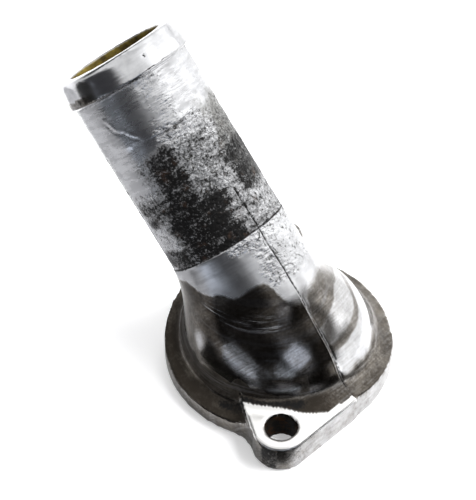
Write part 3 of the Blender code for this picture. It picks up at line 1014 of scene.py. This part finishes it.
@dataclass
class Casting:
    """Flange, ears, dome and neck in one skin."""

    voxel: float = 0.64
    smooth_rounds: int = 5
    edge_rounds: int = 8
    most_triangles: int = 190000
    foot_fillet: float = 5.0
    seam_band: float = 1.0
    ring_band: float = 0.7
    fine_rings: tuple[Triple, ...] = ((25.0, -180.0, 180.0), (60.6, 0.0, 38.0))
    marks: tuple[Mark, ...] = (
        HandFinish(),
        CastGrain(),
        HoseBand(),
        Corrosion(),
        PartingSeam(),
        RingMark(along=25.0, depth=0.16, half_width=0.28),
        RingMark(along=45.2, depth=0.10, half_width=0.30, first_angle=-5.0, last_angle=78.0),
        RingMark(along=60.6, depth=0.12, half_width=0.40, first_angle=8.0, last_angle=30.0),
        Scratch(route=((71.0, 71.7), (68.7, 67.9), (67.1, 65.4), (66.4, 59.7), (64.6, 55.6), (63.2, 50.3))),
        Nick(along=81.3, angle=7.4, radius=0.45, depth=0.10),
    )
    wear: Wear = Wear()

    def build(self) -> bpy.types.Object:
        """Make the skin and put its marks and finishes on."""
        skin = self._start_from_node()
        finish_with(skin, "REMESH", mode="VOXEL", voxel_size=self.voxel * MM)
        finish_with(skin, "SMOOTH", factor=0.5, iterations=self.smooth_rounds)
        self._true_up(skin)
        self._wear_edges(skin)
        self._refine_near_marks(skin)
        self._true_up(skin)
        self._press_marks(skin)
        self._thin_hidden(skin)
        self._paint(skin)
        self._dress(skin)
        make_active(skin)
        bpy.ops.object.shade_smooth()
        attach(skin, "root")
        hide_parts("casting")
        return skin

    def _start_from_node(self) -> bpy.types.Object:
        """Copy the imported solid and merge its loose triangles."""
        skin = bpy.data.objects.new("flange_casting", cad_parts["casting"].data.copy())
        bpy.context.scene.collection.objects.link(skin)
        make_active(skin)
        bpy.ops.object.mode_set(mode="EDIT")
        bpy.ops.mesh.select_all(action="SELECT")
        bpy.ops.mesh.remove_doubles(threshold=0.002 * MM)
        bpy.ops.object.mode_set(mode="OBJECT")
        return skin

    def _read(self, skin: bpy.types.Object) -> Places:
        """Points and normals of the skin in the flange's frame."""
        corners = skin.data.vertices
        return Places(vectors(corners, "co") / MM - FLANGE_SPOT, vectors(corners, "normal"), BODY, PLATE)

    def _write(self, skin: bpy.types.Object, points: np.ndarray) -> None:
        """Put points of the flange's frame back into the skin."""
        skin.data.vertices.foreach_set("co", ((points + FLANGE_SPOT) * MM).ravel())
        skin.data.update()

    def _form(self, points: np.ndarray) -> np.ndarray:
        """Distance to dome, neck and plate's top with the hollow fillet at the dome's foot."""
        to_top = (points[:, 2] - PLATE.top(points)) * math.cos(PLATE.top_slope)
        return smooth_least(BODY.distance(points), to_top, self.foot_fillet)

    def _true_up(self, skin: bpy.types.Object) -> None:
        """Move the skin onto its true round form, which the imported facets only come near."""
        places = self._read(skin)
        points = places.points.copy()
        near_foot = (np.abs(places.to_body - places.to_top) < self.foot_fillet) & places.outer
        free = places.outer & (places.along < BODY.lip_start - 1.5)
        self._project(points, places, self._form, free, near_foot, 0.3)
        never = np.zeros(len(free), bool)
        plate = (places.to_body > 1.0) & (places.points[:, 2] > 0.8) & (places.along < 50.0)
        self._project(points, places, lambda at: at[:, 2] - PLATE.top(at), plate & ~near_foot, never, 0.45)
        for number in range(5):
            self._project(points, places, lambda at, n=number: PLATE.walls(at)[n], plate, never, 0.35)
        lip = places.outer & (places.along > BODY.lip_start) & (places.along < BODY.neck_length - 1.6)
        self._project(points, places, BODY.off_lip, lip, lip, 0.5)
        wall = ~places.outer & (places.along < BODY.neck_length - 1.5) & (places.points[:, 2] > 1.0)
        self._project(points, places, lambda at: -BODY.distance(at, 1.0), wall, never, 0.3)
        self._write(skin, points)

    @staticmethod
    def _group(skin: bpy.types.Object, name: str, chosen: np.ndarray) -> None:
        """Put the chosen corners of the skin into a new vertex group."""
        group = skin.vertex_groups.new(name=name)
        group.add([int(i) for i in np.flatnonzero(chosen)], 1.0, "REPLACE")

    def _wear_edges(self, skin: bpy.types.Object) -> None:
        """Round the plate's and the ears' upper edges as handling did."""
        places = self._read(skin)
        loose = (places.to_body > 1.2) & (places.points[:, 2] > 1.0)
        self._group(skin, "edges", loose)
        finish_with(skin, "SMOOTH", factor=0.5, iterations=self.edge_rounds, vertex_group="edges")
        skin.vertex_groups.clear()

    @staticmethod
    def _project(points: np.ndarray, places: Places, form: Callable[[np.ndarray], np.ndarray], free: np.ndarray,
                 always: np.ndarray, reach: float) -> None:
        """Move points onto a form where they already lie close to it.

        Args:
            points: places to move, changed in place.
            places: what is known of them.
            form: distance to the form.
            free: which points may move.
            always: which of them move from any distance.
            reach: how far away the others may lie.
        """
        step = 0.02
        for _ in range(3):
            value = form(points)
            slope = np.column_stack([
                (form(points + step * axis) - form(points - step * axis)) / (2.0 * step) for axis in np.eye(3)
            ])
            length = np.maximum(np.linalg.norm(slope, axis=1), 0.2)
            facing = np.einsum("ij,ij->i", slope, places.normals) / length
            moving = free & (((np.abs(value) < reach) & (facing > 0.94)) | (always & (np.abs(value) < 1.8)))
            points[moving] -= (slope * (value / length**2)[:, None])[moving]

    def _refine_near_marks(self, skin: bpy.types.Object) -> None:
        """Divide the faces along the seam and the rings, where the marks are narrow."""
        for round_number in range(2):
            places = self._read(skin)
            seam = np.abs(places.points[:, 1] - BODY.parting_y) < self.seam_band
            ring = np.zeros(len(seam), bool)
            for along, first, last in self.fine_rings:
                ring |= (np.abs(places.along - along) < self.ring_band) & (places.angle > first) & (places.angle < last)
            near = (seam | (ring & (places.on_neck > 0.1))) & places.outer & (places.to_top > -0.3)
            near &= places.along < BODY.lip_start
            near |= places.outer & (np.abs(places.along - BODY.lip[0][0] - 0.4) < 0.9) & (round_number == 0)
            near |= (np.abs(places.along - BODY.neck_length) < 0.9) & (places.radius < 15.4) & (round_number == 0)
            make_active(skin)
            bpy.ops.object.mode_set(mode="EDIT")
            bpy.ops.mesh.select_all(action="DESELECT")
            bpy.ops.mesh.select_mode(type="VERT")
            bpy.ops.object.mode_set(mode="OBJECT")
            skin.data.vertices.foreach_set("select", near)
            bpy.ops.object.mode_set(mode="EDIT")
            bpy.ops.mesh.select_mode(type="FACE")
            bpy.ops.mesh.subdivide(number_cuts=1)
            bpy.ops.object.mode_set(mode="OBJECT")

    def _press_marks(self, skin: bpy.types.Object) -> None:
        """Raise and sink the skin by every mark's height."""
        places = self._read(skin)
        height = sum(mark.height(places) for mark in self.marks)
        low, high = (np.array(corner) / MM - FLANGE_SPOT for corner in CAD_BOX)
        self._write(skin, np.clip(places.points + height[:, None] * places.normals, low, high))

    def _thin_hidden(self, skin: bpy.types.Object) -> None:
        """Spend fewer faces inside the waterway and on the flat underside."""
        places = self._read(skin)
        kept = places.outer & (places.points[:, 2] > 0.3)
        self._group(skin, "hidden", ~kept)
        before = sum(len(face.vertices) - 2 for face in skin.data.polygons)
        share = min(1.0, self.most_triangles / before)
        finish_with(skin, "DECIMATE", ratio=share, vertex_group="hidden", vertex_group_factor=1.0)
        LOG.info("skin thinned from %d triangles to %d", before, len(skin.data.polygons))
        skin.vertex_groups.clear()

    def _paint(self, skin: bpy.types.Object) -> None:
        """Store the wear masks, with the painted shade in two of them, on the mesh."""
        places = self._read(skin)
        for mask, values in self.wear.all_masks(places).items():
            layer = skin.data.attributes.new(mask.value, "FLOAT", "POINT")
            layer.data.foreach_set("value", np.clip(values, 0.0, 1.0).astype(np.float32))

    def _dress(self, skin: bpy.types.Object) -> None:
        """Give each face the finish of its place."""
        skin.data.materials.clear()
        for finish in (WornSkin(), MachinedFace(), CoolantStain(), DirtyBore()):
            skin.data.materials.append(finish.material())
        centres = vectors(skin.data.polygons, "center") / MM - FLANGE_SPOT
        slots = np.zeros(len(centres), dtype=np.int32)
        along, _, _ = BODY.neck_place(centres)
        slots[(BODY.distance(centres) < -1.4) & (along < BODY.neck_length - 2.5)] = Slot.WATERWAY.value
        slots[centres[:, 2] < 0.12] = Slot.MACHINED.value
        for turn in EAR_TURNS:
            local = PLATE.seen_from_ear(centres, turn)
            reach = np.linalg.norm(local[:, :2] - PLATE.ear_centre, axis=1)
            slots[(reach < PLATE.hole_radius + 0.25) & (local[:, 2] < PLATE.ear_height - 0.4)] = Slot.BORE.value
        skin.data.polygons.foreach_set("material_index", slots)


@dataclass(frozen=True)
class SkyPatch:
    """Soft-edged patch of the sky that the metal reflects, such as a softbox or a dark flag."""

    azimuth: float
    elevation: float
    half_width: float
    half_height: float
    shade: Colour
    roll: float = 0.0
    edge: float = 0.35

    def lay_over(self, sheet: NodeSheet, below: Socket | Colour) -> Socket:
        """Mix the patch over what the sky has so far.

        Args:
            sheet: the world's nodes.
            below: colour of the sky so far.

        Returns:
            Colour of the sky with the patch.
        """
        turn = (math.radians(self.roll), -math.radians(self.elevation), math.radians(self.azimuth))
        turned = sheet.add("Mapping", "Vector", {"Vector": sheet.place, "Rotation": turn}, vector_type="TEXTURE")
        parts = sheet.add("SeparateXYZ", "X", {"Vector": turned}).node.outputs
        aside = sheet.sum("DIVIDE", parts["Y"], math.sin(math.radians(self.half_width)))
        over = sheet.sum("DIVIDE", parts["Z"], math.sin(math.radians(self.half_height)))
        reach = sheet.sum("SQRT", sheet.sum("MULTIPLY_ADD", over, over, sheet.sum("MULTIPLY", aside, aside)))
        cover = sheet.step(reach, 1.0 + self.edge, 1.0 - self.edge)
        ahead = sheet.sum("GREATER_THAN", parts["X"])
        return sheet.tint(sheet.sum("MULTIPLY", cover, ahead), below, self.shade)


@dataclass(frozen=True)
class FloorCard:
    """Card cut as part of a ring, which lies round the casting and shows in its reflections alone."""

    name: str
    first_azimuth: float
    last_azimuth: float
    inner_radius: float
    outer_radius: float
    shade: Colour
    around: int = 180

    def lay(self, layer: int) -> bpy.types.Object:
        """Cut the card and lay it down over the cards of lower layers."""
        bpy.ops.object.select_all(action="DESELECT")
        place = (FLANGE_X * MM, 0.0, (0.1 + 0.05 * layer) * MM)
        bpy.ops.mesh.primitive_circle_add(vertices=self.around, radius=self.inner_radius, location=place)
        card = bpy.context.object
        card.name = self.name
        bpy.ops.object.mode_set(mode="EDIT")
        bpy.ops.mesh.select_all(action="DESELECT")
        bpy.ops.object.mode_set(mode="OBJECT")
        for corner in card.data.vertices:
            turn = math.degrees(math.atan2(corner.co.y, corner.co.x)) % 360.0
            corner.select = not self.first_azimuth <= turn <= self.last_azimuth
        bpy.ops.object.mode_set(mode="EDIT")
        bpy.ops.mesh.delete(type="VERT")
        bpy.ops.mesh.select_all(action="SELECT")
        bpy.ops.mesh.extrude_edges_move()
        spread = self.outer_radius / self.inner_radius
        bpy.ops.transform.resize(value=(spread, spread, 1.0), center_override=place)
        bpy.ops.object.mode_set(mode="OBJECT")
        card.data.materials.append(glow(self.name, self.shade))
        card.visible_camera = card.visible_diffuse = card.visible_transmission = card.visible_shadow = False
        return card


def glow(name: str, shade: Colour) -> bpy.types.Material:
    """Make an evenly glowing material.

    Args:
        name: the material's name.
        shade: how bright each colour is.

    Returns:
        The material.
    """
    sheet = NodeSheet(bpy.data.materials.new(name))
    sheet.tree.nodes.remove(sheet.shader)
    light = sheet.add("Emission", "Emission", {"Color": shade})
    sheet.put(light, sheet.tree.nodes["Material Output"].inputs["Surface"])
    return sheet.owner


@dataclass(frozen=True)
class Lamp:
    """Soft rectangular lamp, placed by its direction from the casting."""

    name: str
    azimuth: float
    elevation: float
    size: float
    power: float
    distance: float = 1.1

    def hang(self) -> bpy.types.Object:
        """Hang the lamp and aim it at the casting."""
        turn, lift = math.radians(self.azimuth), math.radians(self.elevation)
        towards = Vector((math.cos(turn) * math.cos(lift), math.sin(turn) * math.cos(lift), math.sin(lift)))
        light = bpy.data.lights.new(self.name, "AREA")
        light.shape = "SQUARE"
        light.size = self.size
        light.energy = self.power
        lamp = bpy.data.objects.new(self.name, light)
        bpy.context.scene.collection.objects.link(lamp)
        lamp.location = towards * self.distance
        lamp.visible_glossy = False
        lamp.rotation_euler = towards.to_track_quat("Z", "Y").to_euler()
        return lamp


@dataclass(frozen=True)
class PhotoCamera:
    """Camera that stands where the photograph was taken from."""

    lens: float = 205.02
    sensor_width: float = 36.0
    clip: tuple[float, float] = (0.05, 20.0)
    right: Triple = (-0.69804782, -0.71602227, -0.00643012)
    up: Triple = (0.53630874, -0.52875356, 0.65786975)
    ahead: Triple = (0.47444934, -0.45577601, -0.75310427)
    spot: Triple = (-341.713, 343.961, 598.301)

    def place(self) -> None:
        """Set the camera up in the scene."""
        camera = bpy.data.cameras.new("photo_camera")
        camera.sensor_fit = "HORIZONTAL"
        camera.sensor_width = self.sensor_width
        camera.lens = self.lens
        camera.clip_start, camera.clip_end = self.clip
        spot = Vector((self.spot[0] + FLANGE_X, *self.spot[1:])) * MM
        turn = Matrix((self.right, self.up, -Vector(self.ahead))).transposed().to_4x4()
        holder = bpy.data.objects.new("photo_camera", camera)
        bpy.context.scene.collection.objects.link(holder)
        holder.matrix_world = Matrix.Translation(spot) @ turn
        bpy.context.scene.camera = holder


@dataclass
class Studio:
    """White floor, soft lamps, what the metal mirrors, and the camera."""

    floor_size: float = 6.0
    floor_shade: Colour = (0.86, 0.86, 0.87)
    floor_lift: float = 0.35
    mirrored_lift: float = 0.3
    daylight: float = 0.45
    lamps: tuple[Lamp, ...] = (
        Lamp("key_lamp", azimuth=-125.0, elevation=48.0, size=0.9, power=26.0),
        Lamp("fill_lamp", azimuth=-40.0, elevation=35.0, size=0.9, power=8.0),
    )
    patches: tuple[SkyPatch, ...] = (
        SkyPatch(-118.0, 26.0, 62.0, 34.0, (1.9, 1.9, 1.9)),
        SkyPatch(118.0, 8.0, 60.0, 32.0, (0.05, 0.05, 0.055), edge=0.14),
        SkyPatch(178.0, 10.0, 34.0, 26.0, (0.03, 0.03, 0.03), edge=0.2),
        SkyPatch(-143.0, 18.0, 22.0, 7.0, (0.12, 0.11, 0.10)),
        SkyPatch(-60.0, 58.0, 40.0, 22.0, (1.6, 1.6, 1.6)),
        SkyPatch(103.0, 0.0, 20.0, 4.0, (0.42, 0.46, 0.52), edge=0.2),
        SkyPatch(146.0, 3.0, 15.0, 4.0, (0.7, 0.78, 0.9), roll=8.0),
        SkyPatch(168.0, 17.0, 13.0, 9.0, (0.95, 1.03, 1.2), edge=0.18),
        SkyPatch(-130.0, 4.0, 22.0, 4.0, (0.4, 0.4, 0.4), roll=-24.0),
        SkyPatch(10.0, 22.0, 34.0, 18.0, (0.08, 0.08, 0.08)),
    )
    camera: PhotoCamera = PhotoCamera()
    floor_cards: tuple[FloorCard, ...] = (
        FloorCard("grey_card_left", 9.0, 61.0, 0.045, 0.19, (0.72, 0.72, 0.74)),
        FloorCard("dark_card_left", 45.0, 81.0, 0.185, 3.0, (0.05, 0.05, 0.05)),
        FloorCard("dark_card_right", 59.0, 193.0, 0.045, 3.0, (0.03, 0.03, 0.03)),
        FloorCard("grey_card_next", 59.0, 81.0, 0.09, 0.24, (0.66, 0.66, 0.68)),
        FloorCard("grey_card_middle", 79.0, 119.0, 0.115, 0.32, (0.85, 0.92, 1.05)),
        FloorCard("streak_card", 137.0, 153.0, 0.122, 0.148, (1.3, 1.3, 1.4)),
        FloorCard("bright_card", 200.0, 325.0, 0.07, 0.8, (1.5, 1.5, 1.5)),
    )

    def build(self) -> None:
        """Set the whole stage."""
        self._floor()
        for lamp in self.lamps:
            lamp.hang()
        for layer, card in enumerate(self.floor_cards):
            card.lay(layer)
        self._sky()
        self.camera.place()

    def _floor(self) -> None:
        """Lay the floor, which keeps the shadow and is lifted to white where it is seen or mirrored."""
        bpy.ops.object.select_all(action="DESELECT")
        bpy.ops.mesh.primitive_plane_add(size=self.floor_size, location=(0.0, 0.0, -0.05 * MM))
        floor = bpy.context.object
        floor.name = "floor"
        sheet = NodeSheet(bpy.data.materials.new("white_floor"))
        seen = sheet.sum("MAXIMUM", sheet.rays["Is Camera Ray"], sheet.rays["Is Transmission Ray"])
        seen = sheet.sum("MAXIMUM", seen, sheet.sum("MULTIPLY", sheet.rays["Is Glossy Ray"], self.mirrored_lift))
        for name, value in (("Base Color", self.floor_shade), ("Roughness", 0.9), ("Emission Color", WHITE),
                            ("Emission Strength", sheet.sum("MULTIPLY", seen, self.floor_lift))):
            sheet.put(value, sheet.shader.inputs[name])
        floor.data.materials.append(sheet.owner)

    def _sky(self) -> None:
        """Even soft light all round, white to the camera and with the studio's patches to the metal."""
        world = bpy.data.worlds.new("studio")
        bpy.context.scene.world = world
        sheet = NodeSheet(world, "Generated")
        studio = WHITE
        for patch in self.patches:
            studio = patch.lay_over(sheet, studio)
        mirrored = sheet.rays["Is Glossy Ray"]
        seen = sheet.sum("MAXIMUM", sheet.rays["Is Camera Ray"], sheet.rays["Is Transmission Ray"])
        background = sheet.tree.nodes["Background"]
        sheet.put(sheet.tint(mirrored, WHITE, studio), background.inputs["Color"])
        strength = sheet.blend(sheet.sum("MAXIMUM", seen, mirrored), self.daylight, 1.0)
        sheet.put(strength, background.inputs["Strength"])


def main() -> None:
    """Build the casting and its stage, and report what was built."""
    logging.basicConfig(level=logging.INFO, format="%(name)s: %(message)s")
    bpy.context.scene.view_settings.view_transform = "Standard"
    casting = Casting().build()
    faces = sum(len(polygon.vertices) - 2 for polygon in casting.data.polygons)
    LOG.info("%s: %d triangles", casting.name, faces)
    Studio().build()


if __name__ == "__main__":
    main()
